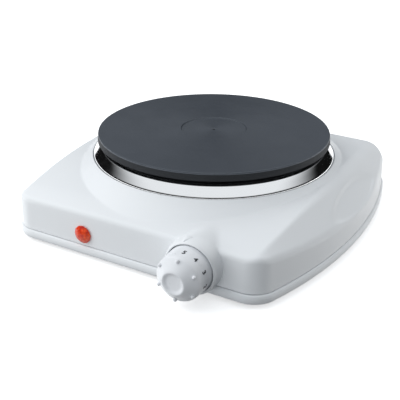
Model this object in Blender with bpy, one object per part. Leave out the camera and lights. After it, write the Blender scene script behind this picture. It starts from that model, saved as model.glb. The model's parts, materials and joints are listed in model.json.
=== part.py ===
"""Single electric hot plate, modelled as its separate pieces.

Z is up, the front faces -Y and the feet stand on Z = 0. Everything hangs on an empty on the
cooking plate's axis. The knob and its thermostat hang on a second empty on the knob's axis, whose
own Z points out of the front, so depths there are measured forward from the panel.
"""
import math

import bmesh
import bpy
import numpy as np
from mathutils import Vector

MM = 0.001
GAP = 0.3 * MM

# Whole appliance
PLATE_AXIS_Y = 20.15 * MM
FOOT_HEIGHT = 3.0 * MM

# Plan outline of the base: straight front and rear, bowed sides, rounded corners
HALF_WIDTH = 129.3 * MM
FRONT_Y = -127.5 * MM
REAR_Y = 113.5 * MM
SIDE_RADIUS = 350.0 * MM
SIDE_MIDDLE_Y = 8.0 * MM
CORNER_RADIUS = 13.0 * MM
PLAN_STEPS = 80

# Upper casing
SEAM_Z = FOOT_HEIGHT + 7.6 * MM
HOUSING_INSET = 1.8 * MM
HOUSING_WALL = 2.2 * MM
WALL_DRAFT = 0.7 * MM
EDGE_ROUND = 3.0 * MM
ARCH_Z = FOOT_HEIGHT + 46.8 * MM
ARCH_FALL_Y = 0.743
ARCH_FALL_X = 0.12
DROOP_Y = -105.0 * MM
DROOP = 4.5
COLLAR_SLOPE = 0.61
OPENING_RADIUS = 97.6 * MM
OPENING_Z = FOOT_HEIGHT + 48.2 * MM
SEAT_RADIUS = 94.5 * MM
SEAT_DEPTH = 1.4 * MM
SEAT_THICKNESS = 2.2 * MM
RIDGE_X = 105.5 * MM
RIDGE_Y = 15.0 * MM
RIDGE_RADIUS = 1.1
WALL_TOP_Z = FOOT_HEIGHT + 23.5 * MM
WALL_TOP_RISE = 6.5 * MM
WALL_TOP_SPAN = 115.0 * MM
GRIP_CENTRE = (119.0 * MM, 6.0 * MM)
GRIP_HALF = (8.0 * MM, 50.0 * MM)
GRIP_DEPTH = 1.8 * MM
POST_RADIUS = 4.0 * MM
POST_PLACES = [(-88 * MM, -92 * MM), (88 * MM, -92 * MM), (-88 * MM, 82 * MM), (88 * MM, 82 * MM)]

# Lower casing
BASE_HEIGHT = 7.3 * MM
BASE_FLOOR = 2.2 * MM
FOOT_PLACES = [(-82 * MM, -112 * MM), (82 * MM, -112 * MM), (-96 * MM, 98 * MM), (96 * MM, 98 * MM)]
FOOT_RADIUS = 8.0 * MM
VENT_SIZE = (34.0 * MM, 4.0 * MM)
VENT_ROWS = 5
VENT_PITCH = 11.0 * MM

# Cooking plate and what hangs on it
PLATE_RADIUS = 92.5 * MM
PLATE_TOP_Z = FOOT_HEIGHT + 65.5 * MM
PLATE_DEPTH = 14.0 * MM
RECESS_RADIUS = 26.5 * MM
COIL_RADII = (76.0 * MM, 62.0 * MM, 48.0 * MM)
COIL_NAMES = ("outer", "middle", "inner")
COIL_WIRE = 4.0 * MM
STUD_RADIUS = 3.0 * MM
PAN_Z = FOOT_HEIGHT + 33.0 * MM
PAN_SHEET = 0.8 * MM
PIN_PLACES = [(-38 * MM, -20 * MM, 0.0), (-30 * MM, -20 * MM, 0.0), (-22 * MM, -20 * MM, 0.0)]

# Front panel fittings
KNOB_AXIS = (55.0 * MM, -127.0 * MM, FOOT_HEIGHT + 20.3 * MM)
KNOB_RADIUS = 16.9 * MM
KNOB_FRONT = 28.5 * MM
NUB_COUNT = 6
NUB_RADIUS = 1.35 * MM
NUB_PLACE = (14.5 * MM, 24.0 * MM)
NUB_FIRST_ANGLE = 26.0
BOSS_RADIUS = 19.9 * MM
BOSS_DEPTH = 8.0 * MM
HOOD_BACK = -24.0 * MM
HOOD_BACK_RADIUS = 17.8 * MM
KNOB_TRAVEL = 168.0
CAM_RISE = 1.35 * MM
BLADE_PIVOT_X = 15.0 * MM
BLADE_Y = 6.5 * MM
LAMP_AXIS = (-38.5 * MM, -125.4 * MM, FOOT_HEIGHT + 16.6 * MM)
LENS_RADIUS = 6.9 * MM

# Mains side
GLAND_PLACE = (-60.0 * MM, 112.0 * MM, FOOT_HEIGHT + 18.0 * MM)
GLAND_BORE = 3.6 * MM
TERMINAL_CENTRE = (-45.0 * MM, 60.0 * MM)


# ---------------------------------------------------------------- scene and materials

def clear_scene():
    for item in list(bpy.data.objects):
        bpy.data.objects.remove(item, do_unlink=True)


def make_material(name, colour, roughness, metallic=0.0):
    material = bpy.data.materials.new(name)
    material.use_nodes = True
    shader = material.node_tree.nodes["Principled BSDF"]
    shader.inputs["Base Color"].default_value = (*colour, 1.0)
    shader.inputs["Roughness"].default_value = roughness
    shader.inputs["Metallic"].default_value = metallic
    return material


def make_materials():
    return {
        "white_plastic": make_material("white_plastic", (0.78, 0.80, 0.83), 0.35),
        "cast_iron": make_material("cast_iron", (0.07, 0.075, 0.09), 0.55, 0.6),
        "stainless": make_material("stainless", (0.85, 0.85, 0.85), 0.12, 1.0),
        "zinc_steel": make_material("zinc_steel", (0.60, 0.61, 0.62), 0.35, 1.0),
        "brass": make_material("brass", (0.72, 0.52, 0.22), 0.35, 1.0),
        "ceramic": make_material("ceramic", (0.85, 0.82, 0.74), 0.6),
        "heating_wire": make_material("heating_wire", (0.25, 0.22, 0.20), 0.5, 0.8),
        "red_lens": make_material("red_lens", (0.85, 0.06, 0.02), 0.1),
        "lamp_glass": make_material("lamp_glass", (0.95, 0.70, 0.55), 0.08),
        "rubber": make_material("rubber", (0.04, 0.04, 0.04), 0.8),
        "grey_plastic": make_material("grey_plastic", (0.55, 0.56, 0.57), 0.5),
        "lead_red": make_material("lead_red", (0.55, 0.05, 0.04), 0.5),
        "lead_blue": make_material("lead_blue", (0.05, 0.15, 0.50), 0.5),
    }


def make_empty(name, place, parent=None, turn=(0.0, 0.0, 0.0)):
    empty = bpy.data.objects.new(name, None)
    bpy.context.collection.objects.link(empty)
    empty.location = place
    empty.rotation_euler = turn
    empty.parent = parent
    return empty


# ---------------------------------------------------------------- mesh helpers

def make_object(name, mesh, material, parent, place=(0.0, 0.0, 0.0), turn=(0.0, 0.0, 0.0)):
    item = bpy.data.objects.new(name, mesh)
    bpy.context.collection.objects.link(item)
    if material is not None:
        mesh.materials.append(material)
    item.location = place
    item.rotation_euler = turn
    item.parent = parent
    return item


def mesh_from_bmesh(name, shape, sharp_angle=35.0):
    bmesh.ops.remove_doubles(shape, verts=shape.verts, dist=1e-7)
    bmesh.ops.recalc_face_normals(shape, faces=shape.faces)
    mesh = bpy.data.meshes.new(name)
    shape.to_mesh(mesh)
    shape.free()
    mesh.shade_smooth()
    mesh.set_sharp_from_angle(angle=math.radians(sharp_angle))
    return mesh


def loops_mesh(name, loops, closed):
    """Skin a list of point loops with quads; closed joins the last loop to the first.

    An open skin starts and ends with a loop whose points coincide, which makes it a solid
    without a hole.
    """
    shape = bmesh.new()
    rings = [[shape.verts.new(point) for point in loop] for loop in loops]
    count = len(rings[0])
    pairs = list(zip(rings, rings[1:]))
    if closed:
        pairs.append((rings[-1], rings[0]))
    for first, second in pairs:
        for i in range(count):
            j = (i + 1) % count
            shape.faces.new((first[i], first[j], second[j], second[i]))
    return mesh_from_bmesh(name, shape)


def turned(name, profile, material, parent, segments=48, place=(0.0, 0.0, 0.0), turn=(0.0, 0.0, 0.0)):
    """Turn a closed profile of (radius, height) points in mm about the local Z axis."""
    angles = [2 * math.pi * i / segments for i in range(segments)]
    holed = min(radius for radius, _ in profile) > 0.0
    loops = [[(r * MM * math.cos(a), r * MM * math.sin(a), z * MM) for a in angles] for r, z in profile]
    mesh = loops_mesh(name, loops, closed=holed)
    return make_object(name, mesh, material, parent, place, turn)


def rod(name, radius, low, high, material, parent, segments=16, **where):
    profile = [(0.0, low), (radius, low), (radius, high), (0.0, high)]
    return turned(name, profile, material, parent, segments, **where)


def tube(name, inner, outer, low, high, material, parent, segments=16, **where):
    profile = [(inner, low), (outer, low), (outer, high), (inner, high)]
    return turned(name, profile, material, parent, segments, **where)


def block(name, low, high, material, parent, **where):
    """Box between two corners in mm."""
    shape = bmesh.new()
    bmesh.ops.create_cube(shape, size=1.0)
    for vert in shape.verts:
        share = [0.5 + vert.co[axis] for axis in range(3)]
        vert.co = [(low[axis] + share[axis] * (high[axis] - low[axis])) * MM for axis in range(3)]
    return make_object(name, mesh_from_bmesh(name, shape), material, parent, **where)


def hide_helper(item):
    item.hide_render = True
    item.display_type = 'WIRE'


def combine(target, helper, operation):
    hide_helper(helper)
    modifier = target.modifiers.new(operation.lower() + "_" + helper.name, 'BOOLEAN')
    modifier.operation = operation
    modifier.solver = 'EXACT'
    modifier.object = helper


def cut(target, helper):
    combine(target, helper, 'DIFFERENCE')


def add(target, helper):
    combine(target, helper, 'UNION')


def lead(name, points, radius, material, parent):
    """Insulated wire: a smooth curve through points in mm, as a straight-sided tube."""
    route = [Vector(point) * MM for point in points]
    padded = [2 * route[0] - route[1]] + route + [2 * route[-1] - route[-2]]
    samples = []
    for p0, p1, p2, p3 in zip(padded, padded[1:], padded[2:], padded[3:]):
        for step in range(3):
            t = step / 3
            samples.append(0.5 * (2 * p1 + (p2 - p0) * t + (2 * p0 - 5 * p1 + 4 * p2 - p3) * t ** 2
                                  + (3 * p1 - p0 - 3 * p2 + p3) * t ** 3))
    samples.append(route[-1])
    curve = bpy.data.curves.new(name, 'CURVE')
    curve.dimensions = '3D'
    curve.bevel_depth = radius * MM
    curve.bevel_resolution = 1
    curve.use_fill_caps = True
    spline = curve.splines.new('POLY')
    spline.points.add(len(samples) - 1)
    for target, sample in zip(spline.points, samples):
        target.co = (*sample, 1.0)
    return make_object(name, curve, material, parent)


# ---------------------------------------------------------------- casing surface

def edge_distance(x, y):
    """Distance inward from the base outline, with the corners rounded."""
    side = SIDE_RADIUS - np.hypot(np.abs(x) + SIDE_RADIUS - HALF_WIDTH, y - SIDE_MIDDLE_Y)
    end = np.minimum(y - FRONT_Y, REAR_Y - y)
    short = np.hypot(np.maximum(CORNER_RADIUS - side, 0), np.maximum(CORNER_RADIUS - end, 0))
    return np.where(short > 0, CORNER_RADIUS - short, np.minimum(side, end))


def outline_at(inset):
    """Loop of (x, y) points at this distance inside the outline, found along rays by bisection."""
    angles = np.linspace(0, 2 * np.pi, PLAN_STEPS, endpoint=False)
    near = np.full(PLAN_STEPS, SEAT_RADIUS)
    far = np.full(PLAN_STEPS, 2 * HALF_WIDTH)
    for _ in range(40):
        middle = (near + far) / 2
        inside = edge_distance(middle * np.cos(angles), middle * np.sin(angles)) > inset
        near = np.where(inside, middle, near)
        far = np.where(inside, far, middle)
    return near * np.cos(angles), near * np.sin(angles)


def circle_at(radius):
    angles = np.linspace(0, 2 * np.pi, PLAN_STEPS, endpoint=False)
    return radius * np.cos(angles), radius * np.sin(angles)


def soft_min(a, b, width):
    share = np.clip(0.5 + 0.5 * (b - a) / width, 0, 1)
    return a * share + b * (1 - share) - width * share * (1 - share)


def arch_height(x, y):
    """Parabolic arch which falls faster near the front edge."""
    droop = DROOP * np.maximum(DROOP_Y - y, 0) ** 2
    return ARCH_Z - ARCH_FALL_Y * y ** 2 - ARCH_FALL_X * x ** 2 - droop


def top_height(x, y):
    """Roof of the casing: an arch, a cone round the opening and a sloping wing on each side."""
    cone = OPENING_Z - COLLAR_SLOPE * (np.hypot(x, y) - OPENING_RADIUS)
    main = np.maximum(arch_height(x, y), cone)
    ridge_x = RIDGE_X - (y - RIDGE_Y) ** 2 / (2 * RIDGE_RADIUS)
    reach = np.maximum(SIDE_RADIUS ** 2 - (y - SIDE_MIDDLE_Y) ** 2, 0)
    edge_x = HALF_WIDTH - SIDE_RADIUS + np.sqrt(reach) - HOUSING_INSET - WALL_DRAFT
    wall_top = WALL_TOP_Z + WALL_TOP_RISE * ((y - SIDE_MIDDLE_Y) / WALL_TOP_SPAN) ** 2
    ridge_z = arch_height(ridge_x, y)
    wing = wall_top + (ridge_z - wall_top) * (edge_x - np.abs(x)) / (edge_x - ridge_x)
    across = (np.abs(x) - GRIP_CENTRE[0]) / GRIP_HALF[0]
    along = (y - GRIP_CENTRE[1]) / GRIP_HALF[1]
    scoop = GRIP_DEPTH * np.clip(3 * (1 - np.hypot(across, along)), 0, 1)
    return soft_min(main, wing, 3 * MM) - scoop


def casing_height(x, y):
    """Outer surface of the casing: the roof, rounded over into a steep wall at its edge."""
    depth = edge_distance(x, y) - HOUSING_INSET
    roof = top_height(x, y)
    past_wall = np.clip(depth - WALL_DRAFT, 0, EDGE_ROUND)
    rounded = roof - EDGE_ROUND + np.sqrt(EDGE_ROUND ** 2 - (EDGE_ROUND - past_wall) ** 2)
    wall = SEAM_Z + (roof - EDGE_ROUND - SEAM_Z) * depth / WALL_DRAFT
    return np.where(depth < WALL_DRAFT, wall, rounded)


def loop_points(plan, height):
    x, y = plan
    z = np.broadcast_to(height, x.shape)
    return list(zip(x.tolist(), y.tolist(), z.tolist()))


def between(first, second, share):
    return tuple(a + share * (b - a) for a, b in zip(first, second))


def casing_outer_loops():
    opening = circle_at(OPENING_RADIUS)
    seat = circle_at(SEAT_RADIUS)
    shoulder = outline_at(HOUSING_INSET + WALL_DRAFT + EDGE_ROUND)
    loops = [loop_points(seat, SEAM_Z), loop_points(seat, OPENING_Z - SEAT_DEPTH)]
    loops += [loop_points(opening, OPENING_Z - SEAT_DEPTH), loop_points(opening, OPENING_Z)]
    for share in (0.2, 0.45, 0.72, 1.0):
        plan = between(opening, shoulder, share)
        loops.append(loop_points(plan, casing_height(*plan)))
    for share in (0.35, 0.0):
        plan = outline_at(HOUSING_INSET + WALL_DRAFT + share * EDGE_ROUND)
        loops.append(loop_points(plan, casing_height(*plan)))
    loops.append(loop_points(outline_at(HOUSING_INSET), SEAM_Z))
    return loops


def casing_inner_loops():
    below = SEAM_Z - 2 * HOUSING_WALL
    roof_limit = OPENING_Z - SEAT_DEPTH - SEAT_THICKNESS
    bore = circle_at(SEAT_RADIUS - 10 * MM)
    wall = outline_at(HOUSING_INSET + HOUSING_WALL)
    shoulder = outline_at(HOUSING_INSET + HOUSING_WALL + EDGE_ROUND)
    loops = [loop_points(bore, below), loop_points(bore, roof_limit)]
    for share in (0.35, 0.7, 1.0):
        plan = between(bore, shoulder, share)
        height = np.minimum(casing_height(*plan) - HOUSING_WALL, roof_limit)
        loops.append(loop_points(plan, height))
    drop = HOUSING_WALL + 1.5 * MM
    roof = np.minimum(casing_height(*shoulder) - drop, roof_limit)
    loops.append(loop_points(wall, roof))
    loops.append(loop_points(wall, below))
    return loops


# ---------------------------------------------------------------- casing pieces

FACE_FRONT = (math.radians(90), 0.0, 0.0)


def build_housing(paint, axis, knob):
    """White upper casing: one moulding with a seat for the ring, a knob boss and screw posts."""
    plastic = paint["white_plastic"]
    housing = make_object("top_housing", loops_mesh("top_housing", casing_outer_loops(), True),
                          plastic, axis)
    hood_profile = [(0.0, HOOD_BACK / MM), (HOOD_BACK_RADIUS / MM, HOOD_BACK / MM)]
    hood_profile += [(BOSS_RADIUS / MM, 3.5), (19.3, 6.4), (18.4, BOSS_DEPTH / MM), (0.0, BOSS_DEPTH / MM)]
    hood = turned("hood_body", hood_profile, None, knob, 48)
    front = (FRONT_Y - GAP) / MM
    cut(hood, block("boss_above_base", (30, front, -5), (80, -90, SEAM_Z / MM + 0.5), None, axis))
    add(housing, hood)
    hollow = loops_mesh("casing_hollow", casing_inner_loops(), True)
    inner = make_object("casing_hollow", hollow, None, axis)
    cut(housing, inner)
    cut(housing, rod("boss_recess", 17.4, 1.5, 20.0, None, knob, 36))
    cut(housing, rod("bush_hole", 4.9, -40.0, 5.0, None, knob))
    cut(housing, rod("lens_hole", 6.0, -12.0, 12.0, None, axis, place=LAMP_AXIS, turn=FACE_FRONT))
    cut(housing, rod("gland_hole", 6.3, -12.0, 12.0, None, axis, place=GLAND_PLACE, turn=FACE_FRONT))
    for number, (x, y) in enumerate(POST_PLACES, 1):
        roof = float(casing_height(np.array(x), np.array(y))) / MM - 1.5
        low = (FOOT_HEIGHT + BASE_FLOOR + GAP) / MM
        add(housing, rod(f"post_{number}", POST_RADIUS / MM, low, roof, None, axis, 16, place=(x, y, 0)))
        cut(housing, rod(f"pilot_{number}", 1.9, low - 1, low + 12, None, axis, 12, place=(x, y, 0)))
    return housing


def build_base(paint, axis):
    """White lower casing: a shallow tray with vents, foot holes and screw holes."""
    low = FOOT_HEIGHT
    steps = [(2.6, 0.0), (1.0, 0.4), (0.2, 1.6), (0.0, 3.2), (0.0, 4.9), (0.5, 6.5), (1.6, BASE_HEIGHT / MM),
             (3.4, BASE_HEIGHT / MM), (4.0, BASE_FLOOR / MM)]
    loops = [loop_points(outline_at(inset * MM), low + height * MM) for inset, height in steps]
    loops.insert(0, loop_points(circle_at(0.0), low))
    loops.append(loop_points(circle_at(0.0), low + BASE_FLOOR))
    base = make_object("base_tray", loops_mesh("base_tray", loops, False), paint["white_plastic"], axis)
    for number, (x, y) in enumerate(POST_PLACES, 1):
        cut(base, rod(f"screw_hole_{number}", 2.0, -1.0, 7.0, None, axis, 12, place=(x, y, 0)))
    for number, (x, y) in enumerate(FOOT_PLACES, 1):
        cut(base, rod(f"foot_hole_{number}", 2.9, -1.0, 7.0, None, axis, 12, place=(x, y, 0)))
    half_x, half_y = VENT_SIZE[0] / MM / 2, VENT_SIZE[1] / MM / 2
    for row in range(VENT_ROWS):
        y = (row - (VENT_ROWS - 1) / 2) * VENT_PITCH / MM
        for side in (-1, 1):
            x = side * 52
            cut(base, block(f"vent_{row}_{side}", (x - half_x, y - half_y, -1), (x + half_x, y + half_y, 7),
                            None, axis))
    return base


def build_feet_and_screws(paint, axis):
    foot = [(0.0, 0.0), (7.0, 0.0), (FOOT_RADIUS / MM, 0.6), (FOOT_RADIUS / MM, 2.7), (2.5, 2.7),
            (2.5, 7.0), (0.0, 7.0)]
    screw = [(0.0, 1.0), (3.2, 1.0), (3.6, 1.6), (3.6, 2.7), (1.6, 2.7), (1.6, 15.5), (0.0, 16.5)]
    for number, (x, y) in enumerate(FOOT_PLACES, 1):
        turned(f"rubber_foot_{number}", foot, paint["rubber"], axis, 16, place=(x, y, 0))
    for number, (x, y) in enumerate(POST_PLACES, 1):
        turned(f"casing_screw_{number}", screw, paint["zinc_steel"], axis, 10, place=(x, y, 0))


# ---------------------------------------------------------------- cooking plate

def build_hotplate(paint, axis):
    """Cast iron plate: flat top with a shallow recess, coil grooves and a centre boss below."""
    top = PLATE_TOP_Z / MM
    rim = PLATE_RADIUS / MM
    bottom = top - PLATE_DEPTH / MM
    groove = bottom + 5.0
    profile = [(0.0, top - 1.0), (RECESS_RADIUS / MM - 0.6, top - 1.0), (RECESS_RADIUS / MM, top)]
    profile += [(rim - 0.8, top), (rim, top - 0.9), (rim + 0.7, top - 6.0)]
    profile += [(89.8, top - 6.0), (89.8, top - 7.5), (85.0, top - 7.5), (85.0, bottom)]
    half = COIL_WIRE / MM + 1.3
    for radius in (r / MM for r in COIL_RADII):
        profile += [(radius + half, bottom), (radius + half, groove + 4.0),
                    (radius - half, groove + 4.0), (radius - half, bottom)]
    profile += [(39.0, bottom), (39.0, groove), (10.5, groove), (10.5, bottom - 2.5), (3.4, bottom - 2.5)]
    profile += [(3.4, groove), (0.0, groove)]
    turned("hotplate", profile, paint["cast_iron"], axis, 44)
    for name, radius in zip(COIL_NAMES, COIL_RADII):
        build_coil(name, radius, bottom + 0.4 + COIL_WIRE / MM, paint["heating_wire"], axis)
    tube("coil_cover_plate", 12.0, 84.0, bottom - 1.1, bottom - 0.3, paint["zinc_steel"], axis, 36)


def build_coil(name, radius, height, material, axis):
    profile = []
    for step in range(6):
        angle = 2 * math.pi * step / 6
        profile.append((radius / MM + COIL_WIRE / MM * math.cos(angle),
                        height + COIL_WIRE / MM * math.sin(angle)))
    turned(f"heating_ring_{name}", profile, material, axis, 32)


def build_spill_ring(paint, axis):
    """Polished steel ring: a collar under the plate and a skirt which seats in the casing."""
    base = FOOT_HEIGHT / MM
    outer = [(87.2, 57.7), (91.3, 57.7), (90.7, 55.7), (94.2, 52.1), (97.2, 48.5), (97.2, 47.2)]
    inner = [(96.3, 47.2), (96.3, 48.1), (93.4, 51.5), (89.7, 55.4), (90.1, 56.9), (87.2, 56.9)]
    profile = [(radius, base + height) for radius, height in outer + inner]
    turned("spill_ring", profile, paint["stainless"], axis, 44)


def build_pan_and_clamp(paint, axis):
    """Heat pan under the plate, pulled up against the casing by a stud, a bridge and a nut."""
    steel = paint["zinc_steel"]
    floor = PAN_Z / MM
    sheet = PAN_SHEET / MM
    rim = floor + 11.3
    profile = [(4.0, floor), (80.0, floor), (86.0, rim - sheet), (93.9, rim - sheet), (93.9, rim)]
    profile += [(85.3, rim), (79.4, floor + sheet), (4.0, floor + sheet)]
    pan = turned("heat_pan", profile, steel, axis, 40)
    for number, place in enumerate(PIN_PLACES, 1):
        cut(pan, rod(f"pin_hole_{number}", 2.4, floor - 3, floor + 4, None, axis, 16, place=place))
    bridge = block("clamp_bridge", (-70, -12, floor - 4.3), (70, 12, floor - 0.3), steel, axis)
    cut(bridge, block("bridge_channel", (-75, -10.5, floor - 6), (75, 10.5, floor - 1.8), None, axis))
    cut(bridge, rod("bridge_hole", 3.6, floor - 6, floor + 2, None, axis))
    stud_top = (PLATE_TOP_Z - PLATE_DEPTH) / MM + 4.6
    rod("centre_stud", STUD_RADIUS / MM, floor - 13.0, stud_top, steel, axis)
    tube("clamp_washer", 3.4, 9.0, floor - 3.3, floor - 2.1, steel, axis)
    hex_nut("clamp_nut", 6.0, 3.4, floor - 8.8, floor - 3.6, steel, axis)


def hex_nut(name, radius, bore, low, high, material, parent, **where):
    nut = rod(name, radius, low, high, material, parent, 6, **where)
    cut(nut, rod(name + "_bore", bore, low - 2, high + 2, None, parent, 24, **where))
    return nut


def build_coil_terminals(paint, axis):
    floor = PAN_Z / MM
    block("coil_terminal_block", (-44, -26, floor - 11), (-16, -14, floor - 0.3), paint["ceramic"], axis)
    for number, place in enumerate(PIN_PLACES, 1):
        rod(f"coil_pin_{number}", 1.3, floor, floor + 16.8, paint["zinc_steel"], axis, 12, place=place)
    cutout = [(0.0, floor - 7.3), (8.0, floor - 7.3), (8.0, floor - 1.8), (10.5, floor - 1.8),
              (10.5, floor - 0.3), (0.0, floor - 0.3)]
    turned("thermal_cutout", cutout, paint["grey_plastic"], axis, 24, place=(34 * MM, 40 * MM, 0))


# ---------------------------------------------------------------- knob and thermostat

def build_knob(paint, knob):
    """White knob: numbered skirt, cone with a finger recess, six nubs, hub on the shaft."""
    front = KNOB_FRONT / MM
    profile = [(0.0, front - 1.3), (6.4, front - 1.1), (7.3, front - 0.2), (8.0, front), (8.8, front - 0.4)]
    profile += [(15.5, 22.6), (16.1, 21.5), (KNOB_RADIUS / MM, 8.2), (KNOB_RADIUS / MM, 5.0), (15.3, 5.0)]
    profile += [(14.4, 20.0), (8.4, 24.6), (6.5, 24.6), (6.5, 6.0), (3.4, 6.0), (3.4, 24.0), (0.0, 24.0)]
    cap = turned("control_knob", profile, paint["white_plastic"], knob, 28)
    for number in range(NUB_COUNT):
        angle = math.radians(NUB_FIRST_ANGLE + number * 360 / NUB_COUNT)
        out, depth = NUB_PLACE
        place = (out * math.cos(angle), out * math.sin(angle), depth)
        add(cap, ball(f"nub_{number}", NUB_RADIUS, knob, place))
    clip = tube("knob_spring_clip", 6.9, 7.7, 8.0, 15.0, paint["zinc_steel"], knob, 32)
    cut(clip, block("clip_slot", (-1.5, 5, 6), (1.5, 10, 17), None, knob))


def ball(name, radius, parent, place):
    shape = bmesh.new()
    bmesh.ops.create_icosphere(shape, subdivisions=1, radius=radius)
    return make_object(name, mesh_from_bmesh(name, shape, 180.0), None, parent, place)


def cam_height(angle):
    """Ramp of the shaft's face cam: it climbs over the knob's travel and then drops back."""
    degrees = (math.degrees(angle) + 90) % 360 - 90
    climb = (degrees + KNOB_TRAVEL - 90) / KNOB_TRAVEL
    return CAM_RISE * max(0.0, climb) if degrees < 103 else 0.0


def build_shaft(paint, knob):
    """Thermostat shaft with its face cam, as one turned and milled piece."""
    segments = 30
    angles = [2 * math.pi * i / segments for i in range(segments)]
    rows = [(0.0, 22.0, 0), (3.0, 22.0, 0), (3.0, -5.6, 0), (9.0, -5.6, 0), (9.0, -7.6, 1),
            (4.0, -7.6, 1), (4.0, -7.6, 0), (0.0, -7.6, 0)]
    loops = []
    for radius, depth, ramp in rows:
        heights = [depth * MM - ramp * (cam_height(a) + 0.15 * MM) for a in angles]
        loops.append([(radius * MM * math.cos(a), radius * MM * math.sin(a), z)
                      for a, z in zip(angles, heights)])
    shaft = make_object("thermostat_shaft", loops_mesh("thermostat_shaft", loops, False),
                        paint["brass"], knob)
    cut(shaft, block("shaft_flat", (-5, 2.0, 9.0), (5, 6.0, 30.0), None, knob))


def build_thermostat(paint, knob, hinge):
    """Bracket behind the panel, bush through it, and a stack of blades on a pillar."""
    steel, brass, ceramic = paint["zinc_steel"], paint["brass"], paint["ceramic"]
    bracket = block("thermostat_bracket", (-20, -11, -5.3), (22, 9.0, -3.8), steel, knob)
    cut(bracket, rod("bracket_hole", 4.9, -8, 2, None, knob))
    tube("thermostat_bush", 3.4, 4.5, -5.3, 4.6, brass, knob)
    hex_nut("bush_nut", 7.2, 4.8, 1.9, 4.3, brass, knob)
    build_shaft(paint, knob)
    pivot = (BLADE_PIVOT_X, BLADE_Y, 0.0)
    rod("stack_pillar", 1.5, -25.5, -5.6, steel, knob, 16, place=pivot)
    hex_nut("pillar_nut", 3.6, 1.8, -24.4, -21.7, steel, knob, place=pivot)
    for number, (low, high) in enumerate(((-11.2, -5.6), (-16.0, -13.3), (-20.0, -17.1)), 1):
        tube(f"stack_insulator_{number}", 1.9, 4.0, low, high, ceramic, knob, place=pivot)
    y_low, y_high = BLADE_Y / MM - 3, BLADE_Y / MM + 3
    blades = (("fixed_contact_blade", -16.8, -16.3, -16), ("bimetal_blade", -21.1, -20.3, -13))
    for name, low, high, tip in blades:
        blade = block(name, (tip, y_low, low), (26, y_high, high), brass, knob)
        cut(blade, rod(name + "_hole", 2.0, low - 2, high + 2, None, knob, 16, place=pivot))
    rod("fixed_contact", 2.0, -16.0, -14.7, steel, knob, 16, place=(-13 * MM, BLADE_Y, 0))
    build_moving_blade(paint, hinge)


def build_moving_blade(paint, hinge):
    """Spring blade whose root is held on the pillar; its own origin is on the pillar's axis."""
    reach = BLADE_PIVOT_X / MM
    blade = block("moving_contact_blade", (-16 - reach, -3, -0.25), (2.5, 3, 0.25), paint["brass"], hinge)
    cut(blade, rod("moving_blade_hole", 2.2, -2, 2, None, hinge, 16))
    contact_place = ((-13 - reach) * MM, 0, 0)
    rod("moving_contact", 2.0, -2.0, -0.55, paint["zinc_steel"], hinge, 16, place=contact_place)
    rod("cam_follower", 1.2, 0.55, 2.6, paint["ceramic"], hinge, 16, place=(-reach * MM, 0, 0))


def build_lamp(paint, axis):
    """Red lens pressed through the panel, with the neon lamp in its holder behind it."""
    where = {"place": LAMP_AXIS, "turn": FACE_FRONT}
    rim = LENS_RADIUS / MM
    lens = [(0.0, 4.2), (2.6, 3.9), (5.0, 2.7), (rim, 1.1), (rim, 0.45), (5.6, 0.45), (5.6, -6.0)]
    lens += [(4.4, -6.0), (4.4, 1.0), (0.0, 2.4)]
    turned("pilot_lens", lens, paint["red_lens"], axis, 18, **where)
    bulb = [(0.0, -3.0), (1.8, -3.6), (2.6, -5.2), (2.6, -17.0), (0.0, -17.0)]
    turned("neon_lamp", bulb, paint["lamp_glass"], axis, 20, **where)
    holder = [(0.0, -18.0), (3.1, -18.0), (3.1, -6.6), (7.6, -6.6), (7.6, -8.6), (5.4, -8.6), (5.4, -22.0),
              (0.0, -22.0)]
    turned("lamp_holder", holder, paint["grey_plastic"], axis, 24, **where)


# ---------------------------------------------------------------- mains side

def build_mains(paint, axis):
    """Gland in the rear wall, terminal block with three screws, earth tag and the leads."""
    floor = (FOOT_HEIGHT + BASE_FLOOR) / MM
    bore = GLAND_BORE / MM
    gland = [(bore, -3.2), (9.0, -3.2), (9.0, -0.9), (5.9, -0.9), (5.9, 3.4), (8.0, 3.4), (8.0, 5.4),
             (bore, 5.4)]
    turned("cord_gland", gland, paint["grey_plastic"], axis, 20, place=GLAND_PLACE, turn=FACE_FRONT)
    cx, cy = (value / MM for value in TERMINAL_CENTRE)
    terminal = block("terminal_block", (cx - 17, cy - 9, floor + 0.3), (cx + 17, cy + 9, floor + 14),
                     paint["ceramic"], axis)
    for number, x in enumerate((cx - 11, cx, cx + 11), 1):
        place = (x * MM, cy * MM, 0)
        well = rod(f"terminal_well_{number}", 3.0, floor + 8, floor + 20, None, axis, 16, place=place)
        cut(terminal, well)
        brass = paint["brass"]
        rod(f"terminal_screw_{number}", 2.6, floor + 8.3, floor + 12.5, brass, axis, 16, place=place)
    tag = tube("earth_tag", 2.3, 5.0, floor + 3.0, floor + 3.8, paint["brass"], axis, 24,
               place=(0, 78 * MM, 0))
    add(tag, block("earth_tag_tail", (-2, 82, floor + 3.0), (2, 90, floor + 3.8), None, axis))
    rod("earth_screw", 2.0, floor + 0.3, floor + 8.0, paint["zinc_steel"], axis, 16, place=(0, 78 * MM, 0))


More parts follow.
